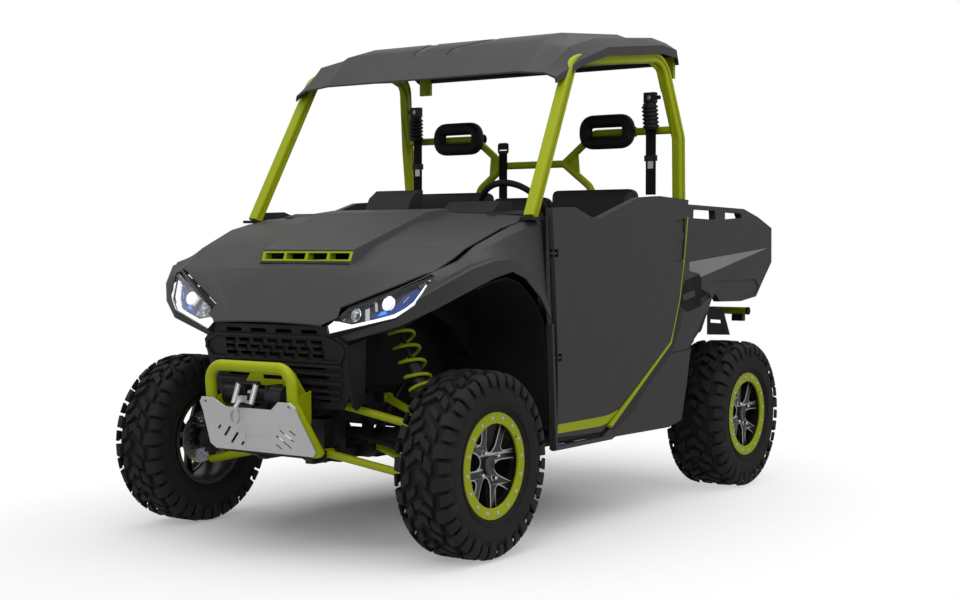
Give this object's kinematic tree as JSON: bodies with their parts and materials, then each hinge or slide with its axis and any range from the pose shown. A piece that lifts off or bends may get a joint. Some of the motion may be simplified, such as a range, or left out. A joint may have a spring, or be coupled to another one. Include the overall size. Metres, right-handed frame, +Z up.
{
  "type": "side by side utility vehicle",
  "caption": "Side by side utility vehicle with open tube cab, half doors, lifting hood, steered front wheels and a tipping cargo bed with tailgate.",
  "frame": {"origin": "on the ground on the centre plane, midway between the front and rear axles", "axes": "-Y forwards, +X to the vehicle's left, +Z up"},
  "size_m": [1.638, 3.02, 2.058],
  "materials": {
    "body_plastic": "satin moulded panel",
    "black_plastic": "grained moulding",
    "lime_plastic": "satin",
    "lime_steel": "powder coat",
    "black_steel": "powder coat",
    "steel": "plated",
    "aluminium": "brushed",
    "rim_alloy": "black coat with machined faces",
    "cast": "as cast",
    "rubber": "matt",
    "tyre": "matt",
    "vinyl": "grained vinyl",
    "webbing": "woven",
    "lens": "clear",
    "lamp_white": "diffuse light guide"
  },
  "bodies": {
    "chassis": {"arch_liners": "black_plastic", "belly_pan": "black_plastic", "bumper": "lime_steel", "cabin_tub": "black_plastic", "cage_cross": "lime_steel", "cage_sides": "lime_steel", "controls": "black_steel", "dampers": "steel", "dashboard": "black_plastic", "driveline": "cast", "engine": "cast", "exhaust": "steel", "frame": "black_steel", "front_arms": "lime_steel", "front_fascia": "black_plastic", "front_fenders": "body_plastic", "half_shafts": "black_steel", "headlamp_housings": "black_plastic", "headlamp_lenses": "lens", "headlamp_strips": "lamp_white", "headrests": "rubber", "radiator": "black_steel", "rear_arms": "black_steel", "roof": "body_plastic", "seat_backs": "vinyl", "seat_belts": "webbing", "seat_cushions": "vinyl", "side_panels": "body_plastic", "skid_plate": "aluminium", "springs": "lime_steel", "steering_column": "black_steel", "steering_gear": "rubber", "tail_lamps": "black_plastic", "winch": "black_steel", "winch_fairlead": "steel"},
    "hood": {"hood": "body_plastic", "hood_vent": "lime_plastic"},
    "door_left": {"door_left": "body_plastic"},
    "door_right": {"door_right": "body_plastic"},
    "bed": {"bed": "body_plastic"},
    "tailgate": {"tailgate": "body_plastic"},
    "steering_wheel": {"steering_wheel": "rubber"},
    "knuckle_left": {"knuckle_left": "cast"},
    "knuckle_right": {"knuckle_right": "cast"},
    "tie_rod_left": {"tie_rod_left": "steel"},
    "tie_rod_right": {"tie_rod_right": "steel"},
    "wheel_front_left": {"tyre_front_left": "tyre", "rim_front_left": "rim_alloy", "ring_front_left": "lime_steel"},
    "wheel_front_right": {"tyre_front_right": "tyre", "rim_front_right": "rim_alloy", "ring_front_right": "lime_steel"},
    "wheel_rear_left": {"tyre_rear_left": "tyre", "rim_rear_left": "rim_alloy", "ring_rear_left": "lime_steel"},
    "wheel_rear_right": {"tyre_rear_right": "tyre", "rim_rear_right": "rim_alloy", "ring_rear_right": "lime_steel"}
  },
  "joints": [
    {"name": "steer_left", "type": "hinge", "parent": "chassis", "child": "knuckle_left", "pos_m": [0.6, -1.05, 0.34209], "axis": [0, 0, 1], "range_deg": [-30, 30]},
    {"name": "steer_right", "type": "hinge", "parent": "chassis", "child": "knuckle_right", "pos_m": [-0.6, -1.05, 0.34209], "axis": [0, 0, 1], "range_deg": [-30, 30]},
    {"name": "steering_wheel_turn", "type": "hinge", "parent": "chassis", "child": "steering_wheel", "pos_m": [0.33, -0.205, 1.25], "axis": [0, 0.8387, 0.5446], "range_deg": [-270, 270]},
    {"name": "tie_rod_left_turn", "type": "hinge", "parent": "knuckle_left", "child": "tie_rod_left", "pos_m": [0.6, -0.93, 0.4], "axis": [0, 0, 1], "range_deg": [-30, 30]},
    {"name": "tie_rod_right_turn", "type": "hinge", "parent": "knuckle_right", "child": "tie_rod_right", "pos_m": [-0.6, -0.93, 0.4], "axis": [0, 0, 1], "range_deg": [-30, 30]},
    {"name": "wheel_front_left_roll", "type": "hinge", "parent": "knuckle_left", "child": "wheel_front_left", "pos_m": [0.7, -1.05, 0.34209], "axis": [-1, 0, 0], "continuous": true},
    {"name": "wheel_rear_left_roll", "type": "hinge", "parent": "chassis", "child": "wheel_rear_left", "pos_m": [0.7, 1.05, 0.34209], "axis": [-1, 0, 0], "continuous": true},
    {"name": "wheel_front_right_roll", "type": "hinge", "parent": "knuckle_right", "child": "wheel_front_right", "pos_m": [-0.7, -1.05, 0.34209], "axis": [-1, 0, 0], "continuous": true},
    {"name": "wheel_rear_right_roll", "type": "hinge", "parent": "chassis", "child": "wheel_rear_right", "pos_m": [-0.7, 1.05, 0.34209], "axis": [-1, 0, 0], "continuous": true},
    {"name": "door_left_swing", "type": "hinge", "parent": "chassis", "child": "door_left", "pos_m": [0.763, -0.58165, 0.9], "axis": [0, 0.0733, -0.9973], "range_deg": [0, 75]},
    {"name": "door_right_swing", "type": "hinge", "parent": "chassis", "child": "door_right", "pos_m": [-0.763, -0.58165, 0.9], "axis": [0, -0.0733, 0.9973], "range_deg": [0, 75]},
    {"name": "hood_lift", "type": "hinge", "parent": "chassis", "child": "hood", "pos_m": [0, -0.622, 1.228], "axis": [-1, 0, 0], "range_deg": [0, 60]},
    {"name": "bed_tip", "type": "hinge", "parent": "chassis", "child": "bed", "pos_m": [0, 1.35, 0.852], "axis": [-1, 0, 0], "range_deg": [0, 45]},
    {"name": "tailgate_drop", "type": "hinge", "parent": "bed", "child": "tailgate", "pos_m": [0, 1.38, 0.952], "axis": [-1, 0, 0], "range_deg": [0, 90]}
  ],
  "couplings": [
    {"joint": "steer_right", "follows": "steer_left", "ratio": 1},
    {"joint": "steering_wheel_turn", "follows": "steer_left", "ratio": 9},
    {"joint": "tie_rod_left_turn", "follows": "steer_left", "ratio": -1},
    {"joint": "tie_rod_right_turn", "follows": "steer_left", "ratio": -1}
  ]
}
